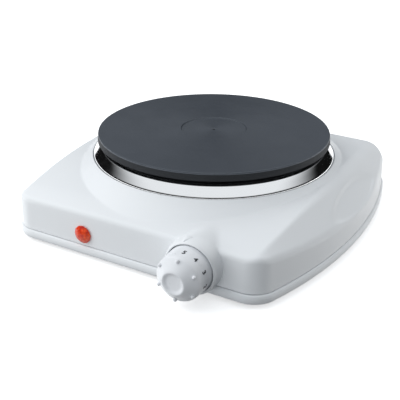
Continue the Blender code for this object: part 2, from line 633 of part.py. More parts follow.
def build_leads(paint, axis):
    """Insulated leads inside the casing, laid clear of everything else."""
    z = (FOOT_HEIGHT + BASE_FLOOR) / MM
    red, blue = paint["lead_red"], paint["lead_blue"]
    lead("lead_to_thermostat", [(-34, 48, z + 6), (0, 40, z + 5), (60, 10, z + 5), (86, -40, z + 8),
                                (97, -74, z + 12), (97, -96, z + 18), (86, -107, z + 21)], 1.1, red, axis)
    lead("lead_to_coil", [(84, -97, z + 18), (70, -76, z + 10), (30, -50, z + 8), (-10, -34, z + 10),
                          (-22, -28, z + 12)], 1.1, red, axis)
    lead("lead_neutral", [(-45, 48, z + 6), (-56, 25, z + 6), (-56, -5, z + 9), (-48, -18, z + 13)],
         1.1, blue, axis)
    lead("lead_to_lamp", [(-56, 48, z + 6), (-82, 20, z + 6), (-84, -50, z + 6), (-60, -88, z + 8),
                          (-39, -101, z + 12)], 1.0, blue, axis)


def build_all():
    clear_scene()
    paint = make_materials()
    axis = make_empty("plate_axis", (0.0, PLATE_AXIS_Y, 0.0))
    knob = make_empty("knob_axis", KNOB_AXIS, axis, FACE_FRONT)
    hinge = make_empty("blade_hinge", (BLADE_PIVOT_X, BLADE_Y, -12.25 * MM), knob)
    build_housing(paint, axis, knob)
    build_base(paint, axis)
    build_feet_and_screws(paint, axis)
    build_hotplate(paint, axis)
    build_spill_ring(paint, axis)
    build_pan_and_clamp(paint, axis)
    build_coil_terminals(paint, axis)
    build_knob(paint, knob)
    build_thermostat(paint, knob, hinge)
    build_lamp(paint, axis)
    build_mains(paint, axis)
    build_leads(paint, axis)


build_all()
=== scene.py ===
"""Looks of a single electric hot plate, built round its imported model.

The sections follow the appliance as it is put together: casing, base, feet, ring, cooking plate,
knob, lamp, gland and the works inside. Lengths are in metres, and heights are above the table.
"""

import json
import math

import bmesh
import bpy
import numpy as np
from mathutils import Matrix, Vector


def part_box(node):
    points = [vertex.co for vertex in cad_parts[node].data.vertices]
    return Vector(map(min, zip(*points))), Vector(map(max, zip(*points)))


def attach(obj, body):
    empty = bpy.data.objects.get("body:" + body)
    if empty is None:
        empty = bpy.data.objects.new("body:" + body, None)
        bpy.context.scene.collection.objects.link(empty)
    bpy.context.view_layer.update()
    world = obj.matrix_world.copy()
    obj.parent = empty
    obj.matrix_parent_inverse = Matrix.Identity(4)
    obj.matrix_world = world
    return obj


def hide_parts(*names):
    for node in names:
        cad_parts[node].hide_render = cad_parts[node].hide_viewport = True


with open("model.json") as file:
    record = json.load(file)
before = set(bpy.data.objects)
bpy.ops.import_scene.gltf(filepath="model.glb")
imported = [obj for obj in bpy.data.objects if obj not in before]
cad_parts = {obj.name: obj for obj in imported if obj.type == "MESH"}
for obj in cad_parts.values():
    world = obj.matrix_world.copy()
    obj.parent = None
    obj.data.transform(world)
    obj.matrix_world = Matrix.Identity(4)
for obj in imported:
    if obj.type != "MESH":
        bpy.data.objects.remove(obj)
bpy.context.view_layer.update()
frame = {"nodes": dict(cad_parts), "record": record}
nodes = frame["nodes"]
scene = bpy.context.scene

# ---------------------------------------------------------------- studio
# White paper on a table, soft boxes at the upper left and low behind on the right and near left. Gloss
# sees a bright ceiling above a dark horizon, as in a tent with black felt round its foot.

MM = 0.001
plate_low, plate_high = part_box("hotplate")
AXIS_Y = (plate_low.y + plate_high.y) / 2
OBJECT_CENTRE = Vector((0.0, 0.0, 0.035))

VIEW_AZIMUTH = math.radians(29.16)
VIEW_DROP = math.radians(25.67)
VIEW_ROLL = math.radians(0.33)
CAMERA_PLACE = Vector((0.25055, AXIS_Y - 0.47122, 0.26016))


def set_up_camera():
    data = bpy.data.cameras.new("studio_camera")
    data.lens = 62.91
    data.sensor_width = 36.0
    camera = bpy.data.objects.new("studio_camera", data)
    scene.collection.objects.link(camera)
    turn = Matrix.Rotation(VIEW_AZIMUTH, 4, 'Z') @ Matrix.Rotation(math.pi / 2 - VIEW_DROP, 4, 'X')
    camera.matrix_world = Matrix.Translation(CAMERA_PLACE) @ turn @ Matrix.Rotation(VIEW_ROLL, 4, 'Z')
    scene.camera = camera


def soft_box(name, place, size, power):
    """Square area light of this size, aimed at the middle of the appliance."""
    data = bpy.data.lights.new(name, 'AREA')
    data.size = size
    data.energy = power
    data.color = (1.0, 0.995, 0.98)
    light = bpy.data.objects.new(name, data)
    scene.collection.objects.link(light)
    aim = (OBJECT_CENTRE - Vector(place)).to_track_quat('-Z', 'Y').to_matrix().to_4x4()
    light.matrix_world = Matrix.Translation(place) @ aim
    light.visible_glossy = False
    return light


def set_up_air():
    """World light: for matt shading a level that falls off away from the upper left, as from a wide
    white wall there; for gloss a ceiling fading to a dark horizon; and plain white to look at."""
    world = bpy.data.worlds.new("studio_air")
    world.use_nodes = True
    tree = world.node_tree
    background = tree.nodes["Background"]
    background.inputs["Color"].default_value = (0.935, 0.97, 1.0, 1.0)
    direction = tree.nodes.new("ShaderNodeTexCoord")
    parts = tree.nodes.new("ShaderNodeSeparateXYZ")
    tree.links.new(direction.outputs["Generated"], parts.inputs[0])
    ceiling = tree.nodes.new("ShaderNodeMapRange")
    ceiling.interpolation_type = 'SMOOTHSTEP'
    ceiling.inputs["From Min"].default_value = math.sin(math.radians(20))
    ceiling.inputs["From Max"].default_value = math.sin(math.radians(46))
    ceiling.inputs["To Min"].default_value = 0.005
    ceiling.inputs["To Max"].default_value = 0.86
    tree.links.new(parts.outputs["Z"], ceiling.inputs["Value"])
    lean = tree.nodes.new("ShaderNodeVectorMath")
    lean.operation = 'DOT_PRODUCT'
    lean.inputs[1].default_value = (-0.40, -0.15, 0.46)
    tree.links.new(direction.outputs["Generated"], lean.inputs[0])
    matt = tree.nodes.new("ShaderNodeMath")
    matt.operation = 'ADD'
    matt.inputs[1].default_value = 0.48
    tree.links.new(lean.outputs["Value"], matt.inputs[0])
    path = tree.nodes.new("ShaderNodeLightPath")
    level = tree.nodes.new("ShaderNodeMix")
    tree.links.new(path.outputs["Is Glossy Ray"], level.inputs["Factor"])
    tree.links.new(matt.outputs["Value"], level.inputs["A"])
    tree.links.new(ceiling.outputs["Result"], level.inputs["B"])
    shown = tree.nodes.new("ShaderNodeMix")
    shown.inputs["B"].default_value = 1.1
    tree.links.new(path.outputs["Is Camera Ray"], shown.inputs["Factor"])
    tree.links.new(level.outputs["Result"], shown.inputs["A"])
    tree.links.new(shown.outputs["Result"], background.inputs["Strength"])
    scene.world = world


def lay_paper():
    """Table paper: a wide flat sheet, with a faint cloudiness in its white."""
    half = 4.0
    corners = [(-half, -half, 0), (half, -half, 0), (half, half, 0), (-half, half, 0)]
    mesh = bpy.data.meshes.new("table_paper")
    mesh.from_pydata(corners, [], [(0, 1, 2, 3)])
    paper = bpy.data.objects.new("table_paper", mesh)
    scene.collection.objects.link(paper)
    material = bpy.data.materials.new("white_paper")
    material.use_nodes = True
    tree = material.node_tree
    shader = tree.nodes["Principled BSDF"]
    shader.inputs["Roughness"].default_value = 0.9
    shader.inputs["Specular IOR Level"].default_value = 0.1
    place = tree.nodes.new("ShaderNodeTexCoord")
    clouds = tree.nodes.new("ShaderNodeTexNoise")
    clouds.inputs["Scale"].default_value = 3.0
    tree.links.new(place.outputs["Object"], clouds.inputs["Vector"])
    tint = tree.nodes.new("ShaderNodeMix")
    tint.data_type = 'RGBA'
    tint.inputs["A"].default_value = (0.97, 0.975, 0.98, 1)
    tint.inputs["B"].default_value = (0.985, 0.985, 0.985, 1)
    tree.links.new(clouds.outputs["Fac"], tint.inputs["Factor"])
    tree.links.new(tint.outputs["Result"], shader.inputs["Base Color"])
    tree.links.new(tint.outputs["Result"], shader.inputs["Emission Color"])
    shader.inputs["Emission Strength"].default_value = 0.5
    mesh.materials.append(material)
    paper.visible_diffuse = False


scene.view_settings.view_transform = 'Standard'
set_up_camera()
set_up_air()
lay_paper()
soft_box("key_soft_box", (-0.55, -0.35, 0.75), 0.55, 1.8)
soft_box("side_soft_box", (0.80, 0.60, 0.16), 0.3, 3.4)
soft_box("near_soft_box", (-0.45, -0.40, 0.20), 0.3, 0.8)

# ---------------------------------------------------------------- upper casing
# One white injection moulding: an arched roof, a cone up to the cooking opening, a sloping wing
# with a finger scoop on each side, and in front a hood that runs into the roof behind the knob.

PLASTIC_WHITE = (0.805, 0.822, 0.84)
PLASTIC_SHADE = (0.79, 0.812, 0.835)
ROUND_STEPS = 720

BASE_Z = 3.0 * MM
HALF_WIDTH = 129.28 * MM
FRONT_Y = -127.5 * MM
REAR_Y = 113.5 * MM
SIDE_RADIUS = 350.0 * MM
SIDE_MIDDLE_Y = 8.0 * MM
CORNER_RADIUS = 13.0 * MM
SEAM_Z = BASE_Z + 7.6 * MM
HOUSING_INSET = 1.8 * MM
HOUSING_WALL = 2.2 * MM
WALL_DRAFT = 0.7 * MM
EDGE_ROUND = 3.0 * MM
ARCH_Z = BASE_Z + 46.8 * MM
ARCH_FALL_Y = 0.743
ARCH_FALL_X = 0.12
DROOP_Y = -105.0 * MM
DROOP = 4.5
COLLAR_SLOPE = 0.61
COLLAR_FILLET = 0.5 * MM
OPENING_RADIUS = 97.6 * MM
OPENING_Z = BASE_Z + 48.2 * MM
SEAT_RADIUS = 94.5 * MM
SEAT_DEPTH = 1.4 * MM
SEAT_THICKNESS = 2.2 * MM
LIP_WIDTH = 0.9 * MM
RIDGE_X = 105.5 * MM
RIDGE_Y = 15.0 * MM
RIDGE_RADIUS = 1.1
CREASE_FRONT = 1.2 * MM
CREASE_GROWTH = 4.0 * MM
CREASE_SPAN = (-90 * MM, 20 * MM)
WALL_TOP_Z = BASE_Z + 23.5 * MM
WALL_TOP_RISE = 6.5 * MM
WALL_TOP_SPAN = 115.0 * MM
GRIP_CENTRE = (119.0 * MM, 6.0 * MM)
GRIP_HALF = (8.0 * MM, 50.0 * MM)
GRIP_DEPTH = 1.8 * MM
KNOB_X = 55.0 * MM
KNOB_Y = -127.0 * MM
KNOB_Z = BASE_Z + 20.3 * MM
HOOD_RADIUS = 19.8 * MM
HOOD_TAPER = 0.095
HOOD_FILLET = 1.6 * MM


def finish_start(name, roughness, metallic=0.0):
    """New material with its shader's plain values set; gives it, its tree, shader and coordinates."""
    material = bpy.data.materials.new(name)
    material.use_nodes = True
    tree = material.node_tree
    shader = tree.nodes["Principled BSDF"]
    shader.inputs["Roughness"].default_value = roughness
    shader.inputs["Metallic"].default_value = metallic
    place = tree.nodes.new("ShaderNodeTexCoord").outputs["Object"]
    return material, tree, shader, place


def noise(tree, place, scale, detail=3.0):
    """Cloudy pattern with this many clouds in a metre."""
    node = tree.nodes.new("ShaderNodeTexNoise")
    node.inputs["Scale"].default_value = scale
    node.inputs["Detail"].default_value = detail
    tree.links.new(place, node.inputs["Vector"])
    return node.outputs["Fac"]


def drift_colour(tree, shader, pattern, low, high):
    """Base colour that drifts between two close tones with a pattern."""
    tint = tree.nodes.new("ShaderNodeMix")
    tint.data_type = 'RGBA'
    tint.inputs["A"].default_value = (*low, 1)
    tint.inputs["B"].default_value = (*high, 1)
    tree.links.new(pattern, tint.inputs["Factor"])
    tree.links.new(tint.outputs["Result"], shader.inputs["Base Color"])


def drift_roughness(tree, shader, pattern, low, high):
    spread = tree.nodes.new("ShaderNodeMapRange")
    spread.inputs["From Min"].default_value = 0.3
    spread.inputs["From Max"].default_value = 0.7
    spread.inputs["To Min"].default_value = low
    spread.inputs["To Max"].default_value = high
    tree.links.new(pattern, spread.inputs["Value"])
    tree.links.new(spread.outputs["Result"], shader.inputs["Roughness"])


def bump(tree, shader, pattern, strength, height):
    node = tree.nodes.new("ShaderNodeBump")
    node.inputs["Strength"].default_value = strength
    node.inputs["Distance"].default_value = height
    tree.links.new(pattern, node.inputs["Height"])
    tree.links.new(node.outputs["Normal"], shader.inputs["Normal"])


def moulded_plastic(name, low, high, roughness, grain):
    """Moulded plastic: tone drifts over centimetres, polish over less, and the mould's grain is fine."""
    material, tree, shader, place = finish_start(name, roughness)
    shader.inputs["Specular IOR Level"].default_value = 0.45
    drift_colour(tree, shader, noise(tree, place, 22.0), low, high)
    drift_roughness(tree, shader, noise(tree, place, 70.0), roughness - 0.05, roughness + 0.06)
    bump(tree, shader, noise(tree, place, 2600.0, 2.0), grain, 0.05 * MM)
    return material


def grid_mesh(name, rows, closed):
    """Quads over a grid of points, rows by columns, in which each row runs round and closes on itself.

    A closed grid also joins its last row to its first. A row that shrinks to a point is merged into
    a pole, and the faces are turned outwards.
    """
    points = np.stack(rows)
    count, around = points.shape[:2]
    first, across = np.meshgrid(np.arange(count if closed else count - 1), np.arange(around), indexing="ij")
    second, beside = (first + 1) % count, (across + 1) % around
    quads = np.stack([first * around + across, first * around + beside,
                      second * around + beside, second * around + across], -1).reshape(-1, 4)
    mesh = bpy.data.meshes.new(name)
    mesh.from_pydata(points.reshape(-1, 3), [], quads)
    welded = bmesh.new()
    welded.from_mesh(mesh)
    bmesh.ops.remove_doubles(welded, verts=welded.verts, dist=1e-6)
    bmesh.ops.recalc_face_normals(welded, faces=welded.faces)
    welded.to_mesh(mesh)
    welded.free()
    return mesh


def new_piece(name, mesh, material, sharp_angle=30.0):
    mesh.shade_smooth()
    mesh.set_sharp_from_angle(angle=math.radians(sharp_angle))
    piece = bpy.data.objects.new(name, mesh)
    scene.collection.objects.link(piece)
    mesh.materials.clear()
    mesh.materials.append(material)
    return piece


def join_meshes(name, meshes):
    """One mesh holding several, as one bmesh filled from each in turn."""
    together = bmesh.new()
    for mesh in meshes:
        together.from_mesh(mesh)
    joined = bpy.data.meshes.new(name)
    together.to_mesh(joined)
    together.free()
    return joined


def cut_away(piece, cutter_mesh):
    """Take a closed cutter's volume out of a piece with a boolean that is applied at once."""
    cutter = bpy.data.objects.new("cutter", cutter_mesh)
    scene.collection.objects.link(cutter)
    step = piece.modifiers.new("step", 'BOOLEAN')
    step.operation = 'DIFFERENCE'
    step.solver = 'EXACT'
    step.object = cutter
    bpy.context.view_layer.update()
    done = bpy.data.meshes.new_from_object(piece.evaluated_get(bpy.context.evaluated_depsgraph_get()))
    piece.modifiers.clear()
    piece.data = done
    bpy.data.objects.remove(cutter)


def bend_corners(corners, steps=5):
    """Profile through (a, b, radius) corners, each replaced by a parabola that touches both its sides."""
    runs = []
    for i, (a, b, radius) in enumerate(corners):
        here = np.array((a, b))
        if radius == 0 or i in (0, len(corners) - 1):
            runs.append(here[None])
            continue
        before = np.array(corners[i - 1][:2]) - here
        after = np.array(corners[i + 1][:2]) - here
        lengths = np.linalg.norm(before), np.linalg.norm(after)
        reach = min(radius, 0.48 * lengths[0], 0.48 * lengths[1])
        start, end = here + before / lengths[0] * reach, here + after / lengths[1] * reach
        t = np.linspace(0, 1, steps + 1)[:, None]
        runs.append((1 - t) ** 2 * start + 2 * t * (1 - t) * here + t ** 2 * end)
    return np.concatenate(runs)


def turned_rows(profile, steps):
    """Rows of a turned shape: each (radius, height) point carried round the Z axis, in mm."""
    angle = np.linspace(0, 2 * np.pi, steps, endpoint=False)
    radius, height = (np.asarray(profile)[:, i, None] * MM for i in (0, 1))
    flat = np.broadcast_to(height, (len(profile), steps))
    return np.stack([radius * np.cos(angle), radius * np.sin(angle), flat], -1)


def face_front(rows, x, z, y=KNOB_Y):
    """Turn rows whose Z is a depth so that they face the front, on an axis through (x, y, z)."""
    side, up, depth = (np.asarray(rows)[..., i] for i in range(3))
    return np.stack([x + side, AXIS_Y + y - depth, z + up], -1)


def stand(rows, x=0.0, y=0.0):
    """Shift rows made about the plate's axis to a place on the appliance."""
    return np.asarray(rows) + np.array((x, AXIS_Y + y, 0.0))


def edge_distance(x, y):
    """Distance inward from the outline: bowed sides, straight ends, rounded where they meet."""
    side = SIDE_RADIUS - np.hypot(np.abs(x) + SIDE_RADIUS - HALF_WIDTH, y - SIDE_MIDDLE_Y)
    end = np.minimum(y - FRONT_Y, REAR_Y - y)
    short = np.hypot(np.maximum(CORNER_RADIUS - side, 0), np.maximum(CORNER_RADIUS - end, 0))
    return np.where(short > 0, CORNER_RADIUS - short, np.minimum(side, end))


def outline_at(inset):
    """Points this far inside the outline, found on rays from the plate's axis by halving."""
    angle = np.linspace(0, 2 * np.pi, ROUND_STEPS, endpoint=False)
    near = np.zeros(ROUND_STEPS)
    far = np.full(ROUND_STEPS, 2 * HALF_WIDTH)
    for _ in range(40):
        middle = (near + far) / 2
        inside = edge_distance(middle * np.cos(angle), middle * np.sin(angle)) > inset
        near, far = np.where(inside, middle, near), np.where(inside, far, middle)
    return np.stack([near * np.cos(angle), near * np.sin(angle)], -1)


def circle_at(radius):
    angle = np.linspace(0, 2 * np.pi, ROUND_STEPS, endpoint=False)
    return np.stack([radius * np.cos(angle), radius * np.sin(angle)], -1)


def soft_min(a, b, width):
    """The lower of two heights, with the crease between them rounded over this width."""
    share = np.clip(0.5 + 0.5 * (b - a) / width, 0, 1)
    return a * share + b * (1 - share) - width * share * (1 - share)


def smooth_step(value, low, high):
    t = np.clip((value - low) / (high - low), 0, 1)
    return t * t * (3 - 2 * t)


def hood_height(x, y):
    """Top of a cone lying on the knob's axis, which thins towards the back; zero beside it."""
    radius = HOOD_RADIUS - HOOD_TAPER * (y - KNOB_Y)
    reach = radius ** 2 - (x - KNOB_X) ** 2
    return np.where(reach > 0, KNOB_Z + np.sqrt(np.maximum(reach, 0)), 0.0)


def arch_height(x, y):
    """Parabola in both directions, which falls faster near the front edge."""
    droop = DROOP * np.maximum(DROOP_Y - y, 0) ** 2
    return ARCH_Z - ARCH_FALL_Y * y ** 2 - ARCH_FALL_X * x ** 2 - droop


def roof_height(x, y):
    """Roof: the arch, a cone up to the opening, and a plane falling from each ridge to its side wall.

    The ridge is crisp in front and fades to the rear, and an oval scoop is sunk in each wing.
    """
    cone = OPENING_Z - COLLAR_SLOPE * (np.hypot(x, y) - OPENING_RADIUS)
    main = -soft_min(-arch_height(x, y), -cone, COLLAR_FILLET)
    ridge_x = RIDGE_X - (y - RIDGE_Y) ** 2 / (2 * RIDGE_RADIUS)
    reach = np.maximum(SIDE_RADIUS ** 2 - (y - SIDE_MIDDLE_Y) ** 2, 0)
    edge_x = HALF_WIDTH - SIDE_RADIUS + np.sqrt(reach) - HOUSING_INSET - WALL_DRAFT
    wall_top = WALL_TOP_Z + WALL_TOP_RISE * ((y - SIDE_MIDDLE_Y) / WALL_TOP_SPAN) ** 2
    ridge_z = arch_height(ridge_x, y)
    wing = wall_top + (ridge_z - wall_top) * (edge_x - np.abs(x)) / (edge_x - ridge_x)
    across = (np.abs(x) - GRIP_CENTRE[0]) / GRIP_HALF[0]
    along = (y - GRIP_CENTRE[1]) / GRIP_HALF[1]
    scoop = GRIP_DEPTH * smooth_step(1 - np.hypot(across, along), 0, 0.3)
    crease = CREASE_FRONT + CREASE_GROWTH * smooth_step(y, *CREASE_SPAN)
    return soft_min(main, wing, crease) - scoop


def casing_height(x, y):
    """Outer surface without the hood: the roof turned down through a quarter round into a steep wall."""
    depth = edge_distance(x, y) - HOUSING_INSET
    roof = roof_height(x, y)
    past_wall = np.clip(depth - WALL_DRAFT, 0, EDGE_ROUND)
    rounded = roof - EDGE_ROUND + np.sqrt(EDGE_ROUND ** 2 - (EDGE_ROUND - past_wall) ** 2)
    wall = SEAM_Z + (roof - EDGE_ROUND - SEAM_Z) * depth / WALL_DRAFT
    return np.where(depth < WALL_DRAFT, wall, rounded)


def lift(plan, height):
    return np.concatenate([plan, np.broadcast_to(height, (len(plan),))[:, None]], 1)


def casing_rows():
    """Closed section carried round the opening: seat, lip, roof, wall, seam, and back up the inside."""
    seat, opening = circle_at(SEAT_RADIUS), circle_at(OPENING_RADIUS)
    shoulder = outline_at(HOUSING_INSET + WALL_DRAFT + EDGE_ROUND)
    ledge = OPENING_Z - SEAT_DEPTH
    rows = [lift(seat, ledge - SEAT_THICKNESS), lift(seat, ledge), lift(opening, ledge)]
    for t in np.linspace(0, 1, 6):
        out = t ** 2 * LIP_WIDTH
        drop = (1 - t) ** 2 * 0.6 * LIP_WIDTH + t ** 2 * COLLAR_SLOPE * LIP_WIDTH
        rows.append(lift(circle_at(OPENING_RADIUS + out), OPENING_Z - drop))
    start = circle_at(OPENING_RADIUS + LIP_WIDTH)
    for share in np.linspace(0, 1, 76)[1:]:
        plan = start + (shoulder - start) * share
        rows.append(lift(plan, outer_height(plan)))
    for turn in np.linspace(0, np.pi / 2, 9)[1:]:
        plan = outline_at(HOUSING_INSET + WALL_DRAFT + EDGE_ROUND * (1 - np.sin(turn)))
        rows.append(lift(plan, outer_height(plan)))
    for share in np.linspace(1, 0.05, 8)[1:]:
        plan = outline_at(HOUSING_INSET + WALL_DRAFT * share)
        rows.append(lift(plan, outer_height(plan)))
    rim = outline_at(HOUSING_INSET)
    rows.append(lift(rim, SEAM_Z + 0.35 * MM))
    rows.append(lift(outline_at(HOUSING_INSET + 0.3 * MM), SEAM_Z + 0.2 * MM))
    return rows + casing_inside()


def casing_inside():
    limit = OPENING_Z - SEAT_DEPTH - SEAT_THICKNESS
    wall = outline_at(HOUSING_INSET + HOUSING_WALL)
    shoulder = outline_at(HOUSING_INSET + HOUSING_WALL + EDGE_ROUND)
    bore = circle_at(SEAT_RADIUS + 1.0 * MM)
    rows = [lift(wall, SEAM_Z + 0.2 * MM)]
    rows.append(lift(wall, np.minimum(casing_height(*shoulder.T) - HOUSING_WALL - 1.5 * MM, limit)))
    for share in np.linspace(0, 1, 14):
        plan = shoulder + (bore - shoulder) * share
        rows.append(lift(plan, np.minimum(casing_height(*plan.T) - HOUSING_WALL, limit)))
    return rows


def outer_height(plan):
    """Casing height with the knob hood merged in through a small fillet."""
    height = casing_height(*plan.T)
    return -soft_min(-height, -hood_height(*plan.T), HOOD_FILLET)


white_plastic = moulded_plastic("white_casing_plastic", PLASTIC_WHITE, PLASTIC_SHADE, 0.34, 0.10)
casing = new_piece("casing_shell", grid_mesh("casing_shell", [stand(row) for row in casing_rows()], True),
                   white_plastic)
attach(casing, "casing")
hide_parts("top_housing")
# ---------------------------------------------------------------- knob boss
# Part of the same white moulding: a short drum that stands out of the panel round the knob, with a
# sunk floor and, on its rim, a small raised mark to read the numbers against.

POINTER_ASIDE = -4.5 * MM
POINTER_RADIUS = 19.5 * MM
POINTER_START = 0.5 * MM
POINTER_LENGTH = 7.5 * MM
POINTER_HALF_WIDTH = 4.5 * MM
POINTER_HEIGHT = 1.2 * MM
BOSS_STEPS = 192
POINTER_STEPS = 32
BOSS_PROFILE = [(0.0, 1.5, 0), (17.4, 1.5, 0.3), (17.5, 7.6, 0.4), (18.3, 8.0, 0.5), (19.4, 6.6, 1.4),
                (19.95, 3.4, 1.2)]
BOSS_BACK = -2.5 * MM
BOSS_BACK_BY_BASE = 0.9 * MM
BASE_CLEARANCE = 0.4 * MM


def boss_rows():
    """Knob boss: a turned rim with a sunk floor, whose back stops short where it stands before the base."""
    rows = turned_rows(bend_corners(BOSS_PROFILE), BOSS_STEPS)
    side = rows[-1] + 0
    in_front_of_base = KNOB_Z + side[:, 1] < SEAM_Z + BASE_CLEARANCE
    side[:, 2] = np.where(in_front_of_base, BOSS_BACK_BY_BASE, BOSS_BACK)
    middle = side * np.array((0, 0, 1))
    return list(face_front(rows, KNOB_X, KNOB_Z)) + list(face_front([side, middle], KNOB_X, KNOB_Z))


def pointer_rows():
    """Index mark moulded on the boss: oval sections that narrow from a broad back to a tip at the knob."""
    rows = []
    angle = np.linspace(0, 2 * np.pi, POINTER_STEPS, endpoint=False)
    for t in np.linspace(0, 1, 15):
        swell = np.sqrt(np.sin(np.pi * t ** 0.6))
        half_width = POINTER_HALF_WIDTH * swell * (1 - 0.75 * t)
        aside = POINTER_ASIDE + half_width * np.cos(angle)
        height = np.sqrt(POINTER_RADIUS ** 2 - aside ** 2) + POINTER_HEIGHT * swell * np.sin(angle)
        y = AXIS_Y + KNOB_Y + POINTER_START - t * POINTER_LENGTH
        rows.append(np.stack([KNOB_X + aside, np.full(POINTER_STEPS, y), KNOB_Z + height], -1))
    return rows


boss_parts = [grid_mesh("boss", boss_rows(), False), grid_mesh("pointer", pointer_rows(), False)]
boss = new_piece("knob_boss", join_meshes("knob_boss", boss_parts), white_plastic)
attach(boss, "casing")

# ---------------------------------------------------------------- base tray
# The same white plastic: a shallow tray with a rolled foot and a bright rounded lip under the
# seam, pierced by two rows of air slots and by the holes for feet and screws.

BASE_FLOOR = 2.2 * MM
BASE_EDGE = [(6.0, 0.0, 0), (1.2, 0.0, 1.6), (0.0, 2.4, 1.2), (0.0, 4.9, 0.5), (0.5, 6.5, 1.0),
             (1.5, 7.3, 0.5), (3.4, 7.3, 0.3), (4.0, 2.2, 0.5), (8.0, 2.2, 0)]
POST_PLACES = [(x * MM, y * MM) for x in (-88, 88) for y in (-92, 82)]
FOOT_PLACES = [(-82 * MM, -112 * MM), (82 * MM, -112 * MM), (-96 * MM, 98 * MM), (96 * MM, 98 * MM)]
VENT_HALF = (17.0 * MM, 2.0 * MM)
VENT_PITCH = 11.0 * MM
VENT_SIDE = 52 * MM
SCREW_HOLE_RADIUS = 2.0 * MM
FOOT_HOLE_RADIUS = 2.9 * MM


def base_rows():
    """Section from the middle of the underside, round the edge and back over the floor."""
    rows = [lift(circle_at(0.0), BASE_Z)]
    rows += [lift(outline_at(inset * MM), BASE_Z + height * MM) for inset, height in bend_corners(BASE_EDGE)]
    rows.append(lift(circle_at(0.0), BASE_Z + BASE_FLOOR))
    return [stand(row) for row in rows]


def peg(x, y, radius):
    """Closed round cutter that runs through the tray's floor."""
    rows = turned_rows([(0, -1), (radius, -1), (radius, 7), (0, 7)], 40)
    return grid_mesh("peg", stand(rows, x, y), False)


def slot_cutter(x, y):
    """Closed cutter for one air slot: a circle parted along X into two half rounds, carried upwards."""
    angle = np.linspace(0, 2 * np.pi, 48, endpoint=False)
    run = VENT_HALF[0] - VENT_HALF[1]
    across = np.sign(np.cos(angle)) * run + VENT_HALF[1] * np.cos(angle)
    plan = np.stack([across, VENT_HALF[1] * np.sin(angle)], -1)
    rows = [lift(plan * size, height * MM) for size, height in ((0, -1), (1, -1), (1, 7), (0, 7))]
    return grid_mesh("slot", stand(rows, x, y), False)


base = new_piece("base_shell", grid_mesh("base_shell", base_rows(), False), white_plastic)
for x, y in POST_PLACES:
    cut_away(base, peg(x, y, SCREW_HOLE_RADIUS / MM))
for x, y in FOOT_PLACES:
    cut_away(base, peg(x, y, FOOT_HOLE_RADIUS / MM))
for row in range(-2, 3):
    for side in (-VENT_SIDE, VENT_SIDE):
        cut_away(base, slot_cutter(side, row * VENT_PITCH))
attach(base, "casing")
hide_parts("base_tray")

# ---------------------------------------------------------------- rubber feet
# Black rubber buttons whose stems are pushed through holes in the tray. Two raised rings round a
# sunk middle make the tread.


def rubber():
    material, tree, shader, place = finish_start("foot_rubber", 0.8)
    drift_colour(tree, shader, noise(tree, place, 260.0), (0.028, 0.028, 0.03), (0.05, 0.05, 0.052))
    bump(tree, shader, noise(tree, place, 1500.0), 0.3, 0.1 * MM)
    return material


foot_rubber = rubber()
FOOT_PROFILE = [(0, 0.5, 0), (1.6, 0.5, 0.1), (1.9, 0.0, 0.2), (3.1, 0.0, 0.2), (3.4, 0.5, 0.1),
                (4.2, 0.5, 0.1), (4.5, 0.0, 0.2), (7.2, 0.0, 0.5), (8.0, 0.9, 0.6), (8.0, 2.7, 0.4),
                (2.5, 2.7, 0.2), (2.5, 7.0, 0.6), (0, 7.0, 0)]
for number, (x, y) in enumerate(FOOT_PLACES, 1):
    rows = stand(turned_rows(bend_corners(FOOT_PROFILE, 3), 48), x, y)
    foot = new_piece(f"foot_{number}", grid_mesh(f"foot_{number}", rows, False), foot_rubber)
    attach(foot, "casing")
    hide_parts(f"rubber_foot_{number}")

# ---------------------------------------------------------------- spill ring
# Bright stainless steel, pressed from sheet: a flange under the plate, a conical skirt and a
# curled edge that drops into the casing's seat.


def polished_steel():
    """Polished sheet: nearly a mirror, with faint turning marks and a few duller patches."""
    material, tree, shader, place = finish_start("polished_steel", 0.07, 1.0)
    drift_colour(tree, shader, noise(tree, place, 40.0), (0.93, 0.93, 0.93), (0.97, 0.97, 0.975))
    drift_roughness(tree, shader, noise(tree, place, 90.0), 0.05, 0.11)
    bump(tree, shader, noise(tree, place, 900.0), 0.03, 0.01 * MM)
    return material


RING_PROFILE = [(87.2, 54.8, 0.2), (87.2, 55.4, 0.2), (90.9, 55.4, 0.7), (93.0, 53.2, 3.0),
                (96.9, 48.8, 1.0), (97.2, 47.2, 0.1), (96.4, 47.2, 0.1), (96.2, 48.4, 0.8), (92.4, 52.6, 3.0),
                (90.4, 54.8, 0.6)]
ring_shape = np.array(bend_corners(RING_PROFILE, 8)) + np.array((0.0, BASE_Z / MM))
ring = new_piece("steel_spill_ring", grid_mesh("steel_spill_ring", stand(turned_rows(ring_shape, 256)), True),
                 polished_steel(), 60.0)
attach(ring, "casing")
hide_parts("spill_ring")

# ---------------------------------------------------------------- cooking plate
# Cast iron, turned flat with a coarse feed that leaves fine rings, then stoved blue-black; its
# shallow middle recess has a centre dimple, and coils lie in grooves underneath.

PLATE_TOP = plate_high.z / MM
RIPPLE_PITCH = 1.5
RIPPLE_HEIGHT = 0.012
RECESS_RADIUS = 26.5
COIL_RADII = (76, 62, 48)
GROOVE_HALF_WIDTH = 5.3
# Depth below the plate's top at which the side's painted shade begins.
SIDE_SHADE_BELOW_TOP = 1.3 * MM


